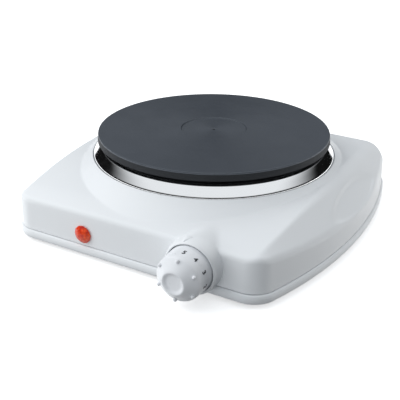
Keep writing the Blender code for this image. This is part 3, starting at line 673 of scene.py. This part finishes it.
def machined_iron():
    """Turned and stoved iron: rings at the tool's pitch, a slow blue-brown drift, and a duller cast side
    whose darker colour is painted shade.

    Its gloss is drawn out across the rings: the tangent is the radius turned by a right angle.
    """
    material, tree, shader, place = finish_start("stoved_cast_iron", 0.42, 0.3)
    shader.inputs["Specular IOR Level"].default_value = 0.6
    drift_colour(tree, shader, noise(tree, place, 14.0), (0.074, 0.086, 0.106), (0.084, 0.096, 0.115))
    drift_roughness(tree, shader, noise(tree, place, 60.0), 0.38, 0.46)
    centre = tree.nodes.new("ShaderNodeVectorMath")
    centre.operation = 'SUBTRACT'
    centre.inputs[1].default_value = (0.0, AXIS_Y, 0.0)
    tree.links.new(place, centre.inputs[0])
    rings = tree.nodes.new("ShaderNodeTexWave")
    rings.wave_type = 'RINGS'
    rings.rings_direction = 'Z'
    rings.inputs["Scale"].default_value = 240.0
    tree.links.new(centre.outputs["Vector"], rings.inputs["Vector"])
    bump(tree, shader, rings.outputs["Fac"], 0.35, 0.03 * MM)
    tone = shader.inputs["Base Color"].links[0].from_socket
    cut = tree.nodes.new("ShaderNodeMix")
    cut.data_type = 'RGBA'
    cut.blend_type = 'MULTIPLY'
    cut.inputs["Factor"].default_value = 0.16
    tree.links.new(tone, cut.inputs["A"])
    tree.links.new(rings.outputs["Color"], cut.inputs["B"])
    tree.links.new(cut.outputs["Result"], shader.inputs["Base Color"])
    turned = tree.nodes.new("ShaderNodeVectorMath")
    turned.operation = 'CROSS_PRODUCT'
    turned.inputs[1].default_value = (0.0, 0.0, 1.0)
    tree.links.new(centre.outputs["Vector"], turned.inputs[0])
    tree.links.new(turned.outputs["Vector"], shader.inputs["Tangent"])
    shader.inputs["Anisotropic"].default_value = 0.6
    return material


def painted_shade_side():
    """Side and underside of the iron: a colour darker than the turned face, painted on as shade, and duller,
    with a sand grain.
    """
    material, tree, shader, place = finish_start("iron_side_painted_shade", 0.6)
    shader.inputs["Specular IOR Level"].default_value = 0.25
    drift_colour(tree, shader, noise(tree, place, 120.0), (0.016, 0.018, 0.021), (0.024, 0.026, 0.030))
    bump(tree, shader, noise(tree, place, 1200.0), 0.3, 0.08 * MM)
    return material


def plate_profile():
    """Top from the dimple outwards with a cosine ripple, then the rim, the side and the ribbed underside."""
    radius = np.arange(0, 91.6, RIPPLE_PITCH / 4)
    ripple = RIPPLE_HEIGHT * (np.cos(radius * 2 * np.pi / RIPPLE_PITCH) - 1)
    sunk = -0.9 * (1 - smooth_step(radius, RECESS_RADIUS - 0.7, RECESS_RADIUS + 0.1))
    dimple = -0.5 * (1 - smooth_step(radius, 0.4, 2.2))
    top = np.stack([radius, PLATE_TOP + ripple + sunk + dimple], -1)
    bottom = PLATE_TOP - 14.0
    groove = bottom + 9.0
    rim = [(91.6, PLATE_TOP, 0), (92.5, PLATE_TOP - 0.1, 0.6), (92.7, PLATE_TOP - 1.2, 0.5),
           (93.2, PLATE_TOP - 6.0, 0.3), (89.8, PLATE_TOP - 6.0, 0.2), (89.8, PLATE_TOP - 7.5, 0.2),
           (85.0, PLATE_TOP - 7.5, 0.2), (85.0, bottom, 0.2)]
    for coil in COIL_RADII:
        outer, inner = coil + GROOVE_HALF_WIDTH, coil - GROOVE_HALF_WIDTH
        rim += [(outer, bottom, 0.2), (outer, groove, 0.4), (inner, groove, 0.4), (inner, bottom, 0.2)]
    rim += [(39.0, bottom, 0.2), (39.0, bottom + 5, 0.4), (10.5, bottom + 5, 0.4), (10.5, bottom - 2.5, 0.2),
            (3.4, bottom - 2.5, 0.1), (3.4, bottom + 5, 0), (0.0, bottom + 5, 0)]
    return np.concatenate([top, bend_corners(rim, 2)])


plate = new_piece("iron_plate", grid_mesh("iron_plate", stand(turned_rows(plate_profile(), 240)), False),
                  machined_iron())
plate.data.materials.append(painted_shade_side())
# Faces below the turned top get the side material, whose darker colour is painted shade.
for face in plate.data.polygons:
    face.material_index = int(face.center.z < plate_high.z - SIDE_SHADE_BELOW_TOP)
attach(plate, "casing")
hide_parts("hotplate")

# ---------------------------------------------------------------- knob
# White plastic cap on the thermostat shaft: a numbered skirt, a blunt cone with a thumb recess
# and six round nubs; the numbers are printed in dark grey ink.

NUB_FIRST_ANGLE = 26.0
NUB_OUT = 14.5
NUB_DEPTH = 24.0
NUB_RADIUS = 1.35 * MM
KNOB_PROFILE = [(0.0, 27.2, 0), (5.6, 27.3, 1.6), (6.9, 28.2, 0.6), (7.9, 28.5, 0.6), (9.0, 27.9, 1.0),
                (15.6, 22.5, 1.2), (16.2, 21.0, 0.9), (16.9, 8.2, 2.0), (16.9, 5.0, 0.4), (15.3, 5.0, 0.2),
                (14.4, 20.0, 1.0), (8.4, 24.6, 0.8), (6.5, 24.6, 0.6), (6.5, 6.0, 0.2), (3.4, 6.0, 0.2),
                (3.4, 24.0, 0), (0.0, 24.0, 0)]
DIAL = {"5": 87.0, "4": 56.0, "3": 22.0, "2": -14.0, "1": -48.0, "0": -81.0}
SKIRT_RADIUS = 16.56 * MM
SKIRT_TAPER = 0.055
NUMBER_SIZE = 5.0 * MM
NUMBER_DEPTH = 15.0 * MM
INK_THICKNESS = 0.12 * MM
INK_SPREAD = 0.12 * MM
NUMBER_FOOT = 1.9 * MM


def ball_rows(radius, centre):
    """Sphere from pole to pole by latitude and longitude."""
    latitude = np.linspace(-np.pi / 2, np.pi / 2, 13)[:, None]
    longitude = np.linspace(0, 2 * np.pi, 24, endpoint=False)
    flat = np.cos(latitude)
    height = np.sin(latitude) + 0 * longitude
    ball = np.stack([flat * np.cos(longitude), flat * np.sin(longitude), height], -1)
    return ball * radius + centre


def wrapped_number(text, degrees):
    """Digit as a thin solid laid on the skirt, its width clockwise round it and its foot to the front."""
    curve = bpy.data.curves.new("digit", 'FONT')
    curve.body = text
    curve.size = NUMBER_SIZE
    curve.align_x = 'CENTER'
    curve.extrude = INK_THICKNESS
    curve.offset = INK_SPREAD
    curve.resolution_u = 4
    letter = bpy.data.objects.new("digit", curve)
    scene.collection.objects.link(letter)
    bpy.context.view_layer.update()
    mesh = bpy.data.meshes.new_from_object(letter.evaluated_get(bpy.context.evaluated_depsgraph_get()))
    bpy.data.objects.remove(letter)
    flat = np.zeros(len(mesh.vertices) * 3)
    mesh.vertices.foreach_get("co", flat)
    flat = flat.reshape(-1, 3)
    angle = math.radians(degrees) - flat[:, 0] / SKIRT_RADIUS
    depth = NUMBER_DEPTH + NUMBER_FOOT - flat[:, 1]
    radius = SKIRT_RADIUS + SKIRT_TAPER * (NUMBER_DEPTH - depth) + flat[:, 2]
    bent = face_front(np.stack([radius * np.cos(angle), radius * np.sin(angle), depth], -1), KNOB_X, KNOB_Z)
    mesh.vertices.foreach_set("co", bent.ravel())
    mesh.update()
    return mesh


def print_ink():
    """Printed ink: dark grey that covers unevenly, with no polish."""
    material, tree, shader, place = finish_start("grey_print_ink", 0.55)
    drift_colour(tree, shader, noise(tree, place, 1800.0), (0.018, 0.02, 0.025), (0.05, 0.053, 0.06))
    return material


knob_plastic = moulded_plastic("white_knob_plastic", (0.80, 0.81, 0.835), (0.78, 0.80, 0.83), 0.3, 0.06)
cap = grid_mesh("cap", face_front(turned_rows(bend_corners(KNOB_PROFILE), 160), KNOB_X, KNOB_Z), False)
nubs = []
for number in range(6):
    turn = math.radians(NUB_FIRST_ANGLE + 60 * number)
    centre = np.array((NUB_OUT * math.cos(turn), NUB_OUT * math.sin(turn), NUB_DEPTH)) * MM
    nubs.append(grid_mesh("nub", face_front(ball_rows(NUB_RADIUS, centre), KNOB_X, KNOB_Z), False))
knob = new_piece("dial_knob", join_meshes("dial_knob", [cap] + nubs), knob_plastic)
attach(knob, "knob")
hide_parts("control_knob")

digits = [wrapped_number(text, degrees) for text, degrees in DIAL.items()]
numbers = new_piece("dial_numbers", join_meshes("dial_numbers", digits), print_ink())
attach(numbers, "knob")

# ---------------------------------------------------------------- pilot lamp
# Moulded red lens with cut facets, pressed through the panel over a neon lamp; it glows orange
# where the lamp is behind it.

LAMP_X = -38.5 * MM
LAMP_Y = -125.4 * MM
LAMP_Z = BASE_Z + 16.6 * MM
FACETS = 12
LENS_RINGS = [(0.0, 4.2), (2.4, 3.8), (4.5, 3.0), (6.0, 1.9)]
LENS_RIM = [(6.9, 1.1), (6.9, 0.45), (5.6, 0.45), (5.6, -6.0), (4.4, -6.0), (4.4, 1.0), (0.0, 2.4)]


def lens_rows():
    """Domed rings of few points, every other ring turned by half a step, so that the facets are lozenges."""
    rows = []
    for index, (radius, depth) in enumerate(LENS_RINGS + LENS_RIM):
        shift = (index % 2) / 2 if index < len(LENS_RINGS) else 0.0
        angle = (np.arange(FACETS) + shift) * 2 * np.pi / FACETS
        ring_points = [radius * np.cos(angle), radius * np.sin(angle), np.full(FACETS, depth)]
        rows.append(np.stack(ring_points, -1) * MM)
    return rows


def lit_red():
    """Red lens plastic lit from behind: orange light breaks out in spots over the deep red."""
    material, tree, shader, place = finish_start("red_lens_plastic", 0.16)
    shader.inputs["Specular IOR Level"].default_value = 0.3
    cells = tree.nodes.new("ShaderNodeTexVoronoi")
    cells.inputs["Scale"].default_value = 420.0
    tree.links.new(place, cells.inputs["Vector"])
    drift_colour(tree, shader, cells.outputs["Distance"], (0.70, 0.035, 0.008), (0.30, 0.005, 0.005))
    glow = tree.nodes.new("ShaderNodeMix")
    glow.data_type = 'RGBA'
    glow.inputs["A"].default_value = (1.0, 0.22, 0.04, 1)
    glow.inputs["B"].default_value = (0.5, 0.006, 0.004, 1)
    tree.links.new(cells.outputs["Distance"], glow.inputs["Factor"])
    tree.links.new(glow.outputs["Result"], shader.inputs["Emission Color"])
    shader.inputs["Emission Strength"].default_value = 0.24
    return material


lens_mesh = grid_mesh("lamp_lens", face_front(lens_rows(), LAMP_X, LAMP_Z, LAMP_Y), False)
lens = new_piece("lamp_lens", lens_mesh, lit_red(), 8.0)
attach(lens, "casing")
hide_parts("pilot_lens")

# ---------------------------------------------------------------- cord gland
# Bush of grey moulded plastic in the rear wall, where the mains lead goes in. It is pushed through
# from outside, and a groove round it grips the edge of the hole.

grey_plastic = moulded_plastic("grey_plastic", (0.20, 0.205, 0.21), (0.24, 0.245, 0.25), 0.45, 0.2)
GLAND_X = -60.0 * MM
GLAND_Y = 112.0 * MM
GLAND_Z = BASE_Z + 18.0 * MM
GLAND_PROFILE = [(3.6, -3.2, 0), (9.0, -3.2, 0.6), (9.0, -0.9, 0.2), (5.9, -0.9, 0.1), (5.9, 3.4, 0.1),
                 (8.0, 3.4, 0.2), (8.0, 5.4, 0.5), (3.6, 5.4, 0)]
gland_rows = face_front(turned_rows(bend_corners(GLAND_PROFILE), 64), GLAND_X, GLAND_Z, GLAND_Y)
gland = new_piece("rear_cord_gland", grid_mesh("rear_cord_gland", gland_rows, True), grey_plastic)
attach(gland, "casing")
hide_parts("cord_gland")

# ---------------------------------------------------------------- the works inside
# Plated steel clamp and pan, brass thermostat parts, ceramic blocks, oxidised heating coils and
# sleeved leads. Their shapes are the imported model's own, each with its finish.


def plated_steel():
    """Zinc-plated sheet: grey with a crystalline spangle and a fine brushed bump."""
    material, tree, shader, place = finish_start("zinc_plated_steel", 0.35, 1.0)
    cells = tree.nodes.new("ShaderNodeTexVoronoi")
    cells.inputs["Scale"].default_value = 260.0
    tree.links.new(place, cells.inputs["Vector"])
    drift_colour(tree, shader, cells.outputs["Distance"], (0.66, 0.67, 0.69), (0.50, 0.51, 0.53))
    drift_roughness(tree, shader, noise(tree, place, 120.0), 0.28, 0.45)
    bump(tree, shader, noise(tree, place, 1400.0), 0.1, 0.02 * MM)
    return material


def tarnished_brass():
    material, tree, shader, place = finish_start("tarnished_brass", 0.32, 1.0)
    drift_colour(tree, shader, noise(tree, place, 150.0), (0.74, 0.54, 0.24), (0.52, 0.35, 0.15))
    drift_roughness(tree, shader, noise(tree, place, 300.0), 0.25, 0.45)
    bump(tree, shader, noise(tree, place, 2000.0), 0.08, 0.02 * MM)
    return material


def fired_ceramic():
    material, tree, shader, place = finish_start("steatite_ceramic", 0.6)
    drift_colour(tree, shader, noise(tree, place, 180.0), (0.84, 0.80, 0.71), (0.76, 0.72, 0.62))
    bump(tree, shader, noise(tree, place, 900.0), 0.25, 0.08 * MM)
    return material


def heated_wire():
    """Coil body: the wire's turns show as fine bands, oxidised brown and grey."""
    material, tree, shader, place = finish_start("oxidised_heating_coil", 0.55, 0.7)
    drift_colour(tree, shader, noise(tree, place, 240.0), (0.27, 0.23, 0.20), (0.16, 0.14, 0.14))
    bump(tree, shader, noise(tree, place, 1100.0), 0.5, 0.2 * MM)
    return material


def lamp_glass():
    material, tree, shader, place = finish_start("neon_lamp_glass", 0.06)
    drift_colour(tree, shader, noise(tree, place, 400.0), (1.0, 0.50, 0.26), (0.92, 0.70, 0.55))
    shader.inputs["Emission Color"].default_value = (1.0, 0.32, 0.10, 1)
    shader.inputs["Emission Strength"].default_value = 0.6
    return material


def lead_sleeve(name, low, high):
    material, tree, shader, place = finish_start(name, 0.5)
    drift_colour(tree, shader, noise(tree, place, 300.0), low, high)
    bump(tree, shader, noise(tree, place, 2400.0), 0.2, 0.05 * MM)
    return material


finishes = {
    "white_plastic": white_plastic, "grey_plastic": grey_plastic, "rubber": foot_rubber,
    "stainless": ring.data.materials[0], "cast_iron": plate.data.materials[0],
    "red_lens": lens.data.materials[0],
    "zinc_steel": plated_steel(), "brass": tarnished_brass(), "ceramic": fired_ceramic(),
    "heating_wire": heated_wire(), "lamp_glass": lamp_glass(),
    "lead_red": lead_sleeve("red_lead_sleeve", (0.50, 0.04, 0.03), (0.60, 0.07, 0.05)),
    "lead_blue": lead_sleeve("blue_lead_sleeve", (0.04, 0.12, 0.42), (0.07, 0.18, 0.52)),
}
for part in frame["record"]["subparts"]:
    nodes[part["node"]].material_slots[0].material = finishes[part["material_slot"]]
